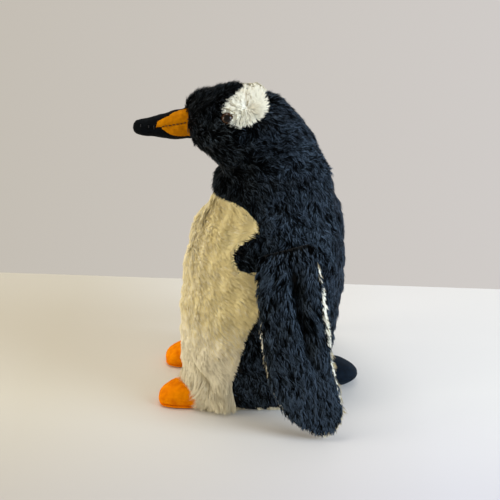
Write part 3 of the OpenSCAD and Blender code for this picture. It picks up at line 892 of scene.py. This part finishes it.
def flipper_fringe(matrix, side, label):
    """The inner fabric's pile where it shows past the dark one, along both edges of a flipper."""
    rng = np.random.default_rng(171 + side)
    spots, normals, flow, length = [], [], [], []
    for column, end, count, first, last, reach, cover in ((2, 1, 3400, 12, 104, 4.8, 3.8),
                                                          (1, -1, 700, 36, 108, 3.0, 1.3)):
        s = rng.uniform(first, last, count)
        y = smooth_at(FLIPPER, column, s) - end * (FLIPPER_RIM + rng.uniform(0, cover, count))
        one = np.ones(count)
        spots.append(np.stack([rng.uniform(-0.8, 1.5, count), y, -s], -1))
        normals.append(unit(np.stack([0.5 * one, 0.8 * end * one, 0 * one], -1)))
        flow.append(np.stack([-0.1 * one, 0.7 * end * one, -0.7 * one], -1))
        length.append(reach * (0.35 + 0.65 * hump(s, 46, 24)))
    spots, normals, flow = (np.concatenate(v) for v in (spots, normals, flow))
    ride(f"flipper_{label}", *grow(f"flipper_fringe_{label}", placed(spots, matrix, side),
                                   turned_only(normals, matrix, side),
                                   turned_only(flow, matrix, side), white_tones,
                                   np.concatenate(length), 0.6, 18, 8, 0.15, 0.12, 0.3,
                                   181 + side, clump=0.3, contrast=0.5))


# ---- beak

# Distance ahead of the figure's middle, bottom, top and half width.
BEAK = np.array([
    (40, 178, 197.8, 10.5), (47, 177.2, 196.3, 10), (55, 177.9, 194, 8.6), (63, 178.8, 191.8, 7.2),
    (70, 179.3, 190.2, 6.1), (73.2, 180.1, 189.3, 5), (75.3, 181.8, 187.7, 3), (76, 183.6, 186, 1),
], float)
BEAK_TIP = 76
BEAK_SKIN = 1.0         # thickness of the velour

# Outlines of the orange patches above and below the mouth, as Y and Z.
PATCH_UPPER = [(-59.9, 188.8), (-59, 190.2), (-57.8, 190.9), (-54.4, 192.7), (-52.2, 193.5),
               (-51.2, 194.4), (-48, 195.8), (-44, 197.2), (-36, 200), (-30, 196), (-30, 185),
               (-58, 184)]
PATCH_LOWER = [(-56.9, 186.4), (-54.5, 184.2), (-51.2, 182), (-46, 180.8), (-38, 181), (-30, 182),
               (-30, 192), (-57, 192)]


velour_dark = mottled("dark velour", (0.001, 0.0016, 0.0022), (0.0022, 0.0036, 0.0055), 3, 0.8,
                      0.018, (0.35, 0.5, 0.8), 0.5, 0.35, shine=0.05)
tail_velour = mottled("tail velour", (0.0010, 0.004, 0.009), (0.0022, 0.0085, 0.018), 3, 0.8,
                      0.06, (0.3, 0.55, 0.9), 0.5, 0.35, shine=0.12)
velour_orange = mottled("orange velour", (0.46, 0.155, 0.0003), (0.64, 0.235, 0.0006), 4, 0.85,
                        0.03, (1.0, 0.6, 0.1), 0.5, 0.35, shine=0.05)
thread = mottled("dark thread", (0.006, 0.006, 0.008), (0.02, 0.02, 0.024), 0.6, 0.6, 0.2,
                 bump=0.6, grain=0.25)


def mouth_z(y):
    """Height of the mouth's line at y."""
    return 186.8 + 0.2 * (y + 57)


def beak_points(v, angle):
    """Points of the beak at distances v ahead of the figure's middle, and at angles."""
    inner = np.maximum(v, BEAK[0, 0])
    low, high, wide = (smooth_at(BEAK, column, inner) for column in (1, 2, 3))
    x, z = oval(angle, np.maximum(wide, 0.25), np.maximum((high - low) / 2, 0.25))
    return np.stack([x, -v, (low + high) / 2 + z], -1)


def make_beak():
    reach = np.concatenate([np.linspace(36, 72, 84), np.linspace(72.4, BEAK_TIP, 12)])
    v, a = np.meshgrid(reach, ring_angles(128), indexing="ij")
    outer = beak_points(v, a)
    flank = np.abs(outer[..., 0]) > 3
    seam = hump(outer[..., 2] - mouth_z(outer[..., 1]), 0, 0.8) * flank * (1 - ramp(v, 60, 66))
    normals = grid_normals(outer)
    wobble = 0.14 * waves(121, 9.0)(outer) + 0.05 * waves(122, 2.5)(outer)
    outer = outer + normals * (wobble - 0.7 * seam)[..., None]
    sheets = outer.reshape(-1, 3), (outer - normals * BEAK_SKIN).reshape(-1, 3)
    quads = grid_faces(*outer.shape[:2])
    x, y, z = sheets[0][quads].mean(1).T
    above = z > mouth_z(y)
    patch_upper, patch_lower = (
        inside(curve_through(outline), y, z) & (np.abs(x) > 2.6) & part
        for outline, part in ((PATCH_UPPER, above), (PATCH_LOWER, ~above)))
    for label, member in (("left", x > 0), ("right", x <= 0)):
        for part, patch in (("upper", patch_upper), ("lower", patch_lower)):
            piece = shell(f"beak_patch_{part}_{label}_velour", *sheets, quads[patch & member],
                          velour_orange)
            dress(piece, "head", "velour_orange", 0.9, f"beak_patch_{part}_{label}")
    for part, member, more in (("upper", above & ~patch_upper, ["beak_stuffing"]),
                               ("lower", ~above & ~patch_lower, [])):
        piece = shell(f"beak_{part}_velour", *sheets, quads[member], velour_dark)
        dress(piece, "head", "velour_dark", 0.9, f"beak_{part}", *more)
    make_stitches()


def turned_faces(count, around):
    """Quads of rings from the bottom up, with one flat polygon at each end."""
    last = (count - 1) * around
    return grid_faces(count, around).tolist() + [list(range(around))[::-1],
                                                 [last + i for i in range(around)]]


def tube(line, radius, sides=8):
    """Rings round a line, drawn in at both ends; returns points and faces."""
    line = np.array(line, float)
    along = unit(np.gradient(line, axis=0))
    across = unit(np.cross(along, np.array((0.13, 0.21, 0.97))))
    upward = np.cross(along, across)
    a = ring_angles(sides)[None, :, None]
    n = len(line)
    taper = np.sqrt(np.clip(1 - (2 * np.arange(n) / (n - 1) - 1) ** 4, 0.05, 1)) * radius
    rings = line[:, None] + taper[:, None, None] * (across[:, None] * np.cos(a)
                                                    + upward[:, None] * np.sin(a))
    return rings.reshape(-1, 3), turned_faces(n, sides)


def join_tubes(name, lines, radius, material):
    """Tubes round all the lines, as one object."""
    points, polygons, at = [], [], 0
    for line in lines:
        p, f = tube(line, radius)
        points.append(p)
        polygons += [[i + at for i in q] for q in f]
        at += len(p)
    return mesh_object(name, np.concatenate(points), polygons, material)


def beak_side(y, z):
    """Half width of the beak at y and z."""
    low, high, wide = (smooth_at(BEAK, column, np.array([-y]))[0] for column in (1, 2, 3))
    share = min(abs(2 * z - low - high) / (high - low), 0.999)
    return wide * (1 - share ** RING_POWER) ** (1 / RING_POWER)


def make_stitches():
    """Short stitches along the mouth, and three upright ones near the tip, on each side."""
    rng = np.random.default_rng(131)
    steps = np.linspace(0, 1, 7)
    arch = [math.sin(math.pi * k / 6) for k in range(7)]
    lines = []
    for side in (1, -1):
        y = -41.0
        while y > -56:
            long = rng.uniform(1.3, 1.8)
            rise = rng.uniform(-0.1, 0.1)
            lines.append([(side * (beak_side(v, mouth_z(v)) - 0.75 + 0.4 * up), v,
                           mouth_z(v) + rise) for up, v in zip(arch, y - long * steps)])
            y -= long + rng.uniform(0.6, 0.9)
        for y, z, long in ((-70.6, 187.0, 1.6), (-65.4, 186.6, 1.8), (-61.9, 186.4, 3.0)):
            lines.append([(side * (beak_side(y, v) - 0.25 + 0.3 * up), y, v)
                          for up, v in zip(arch, z - long / 2 + long * steps)])
    dress(join_tubes("mouth_stitches", lines, 0.3, thread), "head", "thread", None,
          "mouth_stitch")


# ---- eyes

EYE_RADIUS = 3.8


def eye_material():
    """Brown plastic with a dark pupil, as rings about the eye's own axis."""
    material, tree, shader = new_material("eye plastic", 0.12, shine=0.25)
    add, link = node_tools(tree)
    place, split, join = add("TexCoord"), add("SeparateXYZ"), add("CombineXYZ")
    radius, share = add("VectorMath"), add("Math")
    radius.operation, share.operation = "LENGTH", "DIVIDE"
    share.inputs[1].default_value = EYE_RADIUS * MM
    colours = colour_ramp(add, (0.003, 0.002, 0.002), (0.03, 0.009, 0.002))
    for position, colour in ((0.5, (0.003, 0.002, 0.001)), (0.6, (0.015, 0.006, 0.0015)),
                             (0.78, (0.045, 0.017, 0.004)), (0.92, (0.02, 0.007, 0.0015))):
        colours.color_ramp.elements.new(position).color = (*colour, 1)
    link(place.outputs["Object"], split.inputs[0])
    for axis in "XY":
        link(split.outputs[axis], join.inputs[axis])
    link(join.outputs[0], radius.inputs[0])
    link(radius.outputs["Value"], share.inputs[0])
    link(share.outputs[0], colours.inputs["Fac"])
    link(colours.outputs["Color"], shader.inputs["Base Color"])
    return material


def make_eye(side, label, material):
    """A domed safety eye on its shank, turned in one profile."""
    r, seat, rise, shank = EYE_RADIUS, 0.9, 3.0, 1.3
    dome = (r * r + rise * rise) / (2 * rise)
    profile = [(0.02, -7.0), (shank - 0.3, -7.0), (shank, -6.6), (shank, -3.2),
               (shank + 0.12, -3.0), (shank, -2.8), (shank, -0.3), (shank + 0.3, 0.0),
               (r - 0.25, 0.0), (r, 0.25), (r, seat - 0.1)]
    for k in range(13):
        a = math.asin(r / dome) * (1 - k / 12)
        profile.append((max(dome * math.sin(a), 0.02), seat + rise - dome + dome * math.cos(a)))
    around = 48
    points = [(radius * math.cos(a), radius * math.sin(a), z)
              for radius, z in profile for a in ring_angles(around)]
    eye = mesh_object(f"eye_dome_{label}", np.array(points), turned_faces(len(profile), around),
                      material)
    turn = Matrix.Rotation(math.radians(side * (90 - EYE_TILT)), 4, "Y")
    eye.matrix_world = Matrix.Translation((side * EYE_X * MM, EYE_Y * MM, EYE_Z * MM)) @ turn
    dress(eye, "head", "eye_plastic", None, f"eye_{label}")


# ---- feet and tail

FOOT = np.array([
    (0, -60.5, -24, 12), (2, -62, -23, 12.8), (5, -62.3, -22, 13), (7.5, -61.2, -22, 12.8),
    (10, -58.3, -22, 12.2), (12, -55.4, -22, 11.3), (13.4, -52.6, -24, 10),
    (14.2, -49.5, -28, 7.5),
], float)
FOOT_X, FOOT_HINGE, FOOT_LIFT = 30.0, (-41.0, 3.0), 20.0     # hinges as Y and Z
TAIL = np.array([
    (0, 46, 67, 9), (2, 46, 72, 12), (6, 46, 76, 14.5), (9.5, 46, 75, 14.5), (12.5, 46, 71, 12.5),
    (15, 46, 65, 9), (16.2, 48, 60, 4),
], float)
TAIL_HINGE, TAIL_LIFT, TAIL_SEAM = (53.0, 7.0), 25.0, 7.0
ROOT_INSET = 2.6        # how far a foot's or the tail's root lies under the pressed pile
LOWEST_FELT = 0.1

felt = mottled("orange felt", (0.74, 0.175, 0.0002), (0.94, 0.285, 0.0004), 5, 0.9, 0.02,
               (1.0, 0.5, 0.02), 0.9, 0.7, shine=0.03)


def body_side(x, z, end, inset):
    """Y of the body's front (end -1) or back (end 1) at x and z, set in by inset."""
    v = np.clip(z, 0.0, 60.0)
    front, back, half = (smooth_at(BODY, column, v) for column in (1, 2, 3))
    share = np.clip(np.abs(x) / (half - inset), 0, 0.999)
    deep = (back - front) / 2 - inset
    power = body_power(v)
    return (back + front) / 2 + end * deep * (1 - share ** power) ** (1 / power)


def clear_of_body(points, hinge, lift, end, inset):
    """Draws the root of a foot or the tail back to the body's surface, all through its travel."""
    p = points.copy()
    for turn in (0.0, 0.5, 1.0):
        a = math.radians(lift * turn) * -end
        c, s = math.cos(a), math.sin(a)
        y, z = p[..., 1] - hinge[0], p[..., 2] - hinge[1]
        turned_y, turned_z = hinge[0] + c * y + s * z, hinge[1] - s * y + c * z
        limit = body_side(p[..., 0], turned_z, end, inset)
        p[..., 1] += np.maximum((limit - turned_y) * end, 0) * end
    return p


def rounded(table, heights, around, x_middle, power=RING_POWER):
    """Rings of a foot or the tail at these heights."""
    v, a = np.meshgrid(heights, ring_angles(around), indexing="ij")
    p = ring_points(table, v, a, 0.0, power)
    p[..., 2] = v
    p[..., 0] += x_middle
    return p


def make_foot(side, label):
    lump, nap = waves(141 + side, 17.0), waves(143 + side, 2.2)
    heights = np.concatenate([[2.1, 2.4, 2.9], np.linspace(3.6, 13.4, 22), [13.8, 14.05, 14.2]])
    top = rounded(FOOT, heights, 112, FOOT_X, FOOT_POWER)
    out = unit(top - np.array((FOOT_X, -48.0, 6.0)))
    pinch = 0.9 * hump(top[..., 2], 2.1, 0.7)
    top = top + out * (0.16 * lump(top) + 0.08 * nap(top) - pinch)[..., None]
    sole = rounded(FOOT, np.array([0.15, 0.6, 1.2, 1.7, 2.0]), 112, FOOT_X, FOOT_POWER)
    edge = unit(sole - np.array((FOOT_X, -48.0, 1.0))) * np.array((1, 1, 0))
    rim = np.array([-1.2, -0.3, 0.15, 0.25, -0.3])[:, None, None]
    sole = sole + edge * (rim + 0.1 * nap(sole)[..., None])
    for part, rings, more in (("top", top, [f"foot_padding_{label}"]), ("sole", sole, [])):
        rings = clear_of_body(rings, FOOT_HINGE, FOOT_LIFT, -1, ROOT_INSET)
        rings[..., 0] *= side
        rings[..., 2] = np.maximum(rings[..., 2], LOWEST_FELT)
        dress(capped(f"foot_{part}_felt_{label}", rings[:, ::side], felt), f"foot_{label}",
              "felt_orange", 0.85, f"foot_{part}_{label}", *more)


def make_tail():
    lump = waves(151, 14.0)
    under = np.concatenate([np.linspace(0.1, 6.2, 16), [6.5, 6.8, 6.95]])
    top = np.concatenate([[7.05, 7.2, 7.5], np.linspace(7.8, 15.6, 20), [15.9, 16.2]])
    for part, heights, more in (("under", under, []), ("top", top, ["tail_padding"])):
        rings = rounded(TAIL, heights, 120, 0.0)
        out = unit(rings - np.array((0.0, 58.0, 7.0)))
        pinch = 0.55 * hump(rings[..., 2], TAIL_SEAM, 0.5)
        rings = rings + out * (0.25 * lump(rings) - pinch)[..., None] * np.array((1, 1, 0.6))
        rings = clear_of_body(rings, TAIL_HINGE, TAIL_LIFT, 1, ROOT_INSET)
        rings[..., 2] = np.maximum(rings[..., 2], LOWEST_FELT)
        dress(capped(f"tail_{part}_velour", rings, tail_velour), "tail", "velour_dark", 0.8,
              f"tail_{part}", *more)


# ---- inner parts

def dress_inner_parts():
    """The pieces inside keep their CAD shape, with a material of their own."""
    cloth = mottled("pouch cloth", (0.6, 0.56, 0.48), (0.74, 0.7, 0.62), 2, 0.85, 0.1,
                    bump=0.7, grain=0.5, weave=True)
    beads = mottled("pellet plastic", (0.28, 0.38, 0.48), (0.4, 0.5, 0.6), 5, 0.4, bump=0.1,
                    grain=1.5)
    washer = mottled("washer plastic", (0.74, 0.74, 0.73), (0.86, 0.86, 0.85), 2, 0.45, bump=0.15,
                     grain=0.6)
    for node, material in (("pellet_pouch", cloth), ("pellets", beads),
                           ("eye_washer_left", washer), ("eye_washer_right", washer)):
        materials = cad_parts[node].data.materials
        materials.clear()
        materials.append(material)


# ---- floor and light

def make_floor():
    """A pale table top ending a little way behind the figure, with painted light and shadow."""
    corners = np.array([(-329, -1600), (-45, 1600), (1600, 1600), (1600, -1600)]) * MM
    mesh = bpy.data.meshes.new("floor")
    mesh.from_pydata([(*c, 0.0) for c in corners.tolist()], [], [[3, 2, 1, 0]])
    material, tree, shader = new_material("table top", 0.45)
    add, link = node_tools(tree)
    place, split = add("TexCoord"), add("SeparateXYZ")
    along = add("MapRange", From_Min=-150 * MM, From_Max=120 * MM)
    nearer = add("MapRange", From_Min=20 * MM, From_Max=150 * MM)
    # Painted light and shadow: warm towards the figure's front, pale and cool towards its back.
    colours = colour_ramp(add, (0.69, 0.655, 0.565), (0.82, 0.82, 0.825))
    # Painted shadow: darker and bluer towards the camera.
    shaded, first, second = colour_mix(add, "MULTIPLY")
    second.default_value = (0.82, 0.82, 0.88, 1)
    link(place.outputs["Object"], split.inputs[0])
    link(split.outputs["Y"], along.inputs["Value"])
    link(along.outputs["Result"], colours.inputs["Fac"])
    link(split.outputs["X"], nearer.inputs["Value"])
    link(nearer.outputs["Result"], shaded.inputs["Factor"])
    link(colours.outputs["Color"], first)
    link(shaded.outputs[2], shader.inputs["Base Color"])
    add_object("floor", mesh, [material])


def area_light(name, place, target, size, power, colour):
    """A round light of that size and power (watts) at place, shining at target."""
    data = bpy.data.lights.new(name, "AREA")
    data.shape = "DISK"
    data.size = size * MM
    data.energy = power
    data.color = colour
    light = bpy.data.objects.new(name, data)
    here, there = (Matrix.Translation(np.array(p) * MM).translation for p in (place, target))
    light.location = here
    light.rotation_mode = "QUATERNION"
    light.rotation_quaternion = (there - here).to_track_quat("-Z", "Y")
    bpy.context.scene.collection.objects.link(light)


def make_light():
    scene = bpy.context.scene
    scene.view_settings.view_transform = "Standard"
    world = bpy.data.worlds.new("room")
    world.use_nodes = True
    add, link = node_tools(world.node_tree)
    place, split = add("TexCoord"), add("SeparateXYZ")
    across = add("MapRange", From_Min=-0.25, From_Max=0.25)
    ahead = add("MapRange", From_Min=-0.7, From_Max=0.5)
    wall = colour_ramp(add, (0.555, 0.515, 0.455), (0.63, 0.60, 0.58))
    room, first, second = colour_mix(add, "MIX")
    second.default_value = (0.42, 0.375, 0.30, 1)
    link(place.outputs["Generated"], split.inputs[0])
    link(split.outputs["Y"], across.inputs["Value"])
    link(split.outputs["X"], ahead.inputs["Value"])
    link(across.outputs["Result"], wall.inputs["Fac"])
    link(ahead.outputs["Result"], room.inputs["Factor"])
    link(wall.outputs["Color"], first)
    link(room.outputs[2], world.node_tree.nodes["Background"].inputs["Color"])
    scene.world = world
    area_light("window", (420, 900, 450), (0, 10, 100), 560, 10.5, (0.72, 0.85, 1.0))
    area_light("lamp", (180, -950, 270), (0, -20, 55), 560, 4.7, (1.0, 0.93, 0.78))
    area_light("ceiling", (-120, -150, 1100), (0, 0, 100), 500, 3.2, (1.0, 0.96, 0.90))


# ---- everything

make_camera()
make_floor()
make_light()
plant_body()
base_fabric()
base_fringe()
for side, label in ((1, "left"), (-1, "right")):
    make_flipper(side, label)
    make_foot(side, label)
make_beak()
eye_plastic = eye_material()
for side, label in ((1, "left"), (-1, "right")):
    make_eye(side, label, eye_plastic)
make_tail()
dress_inner_parts()
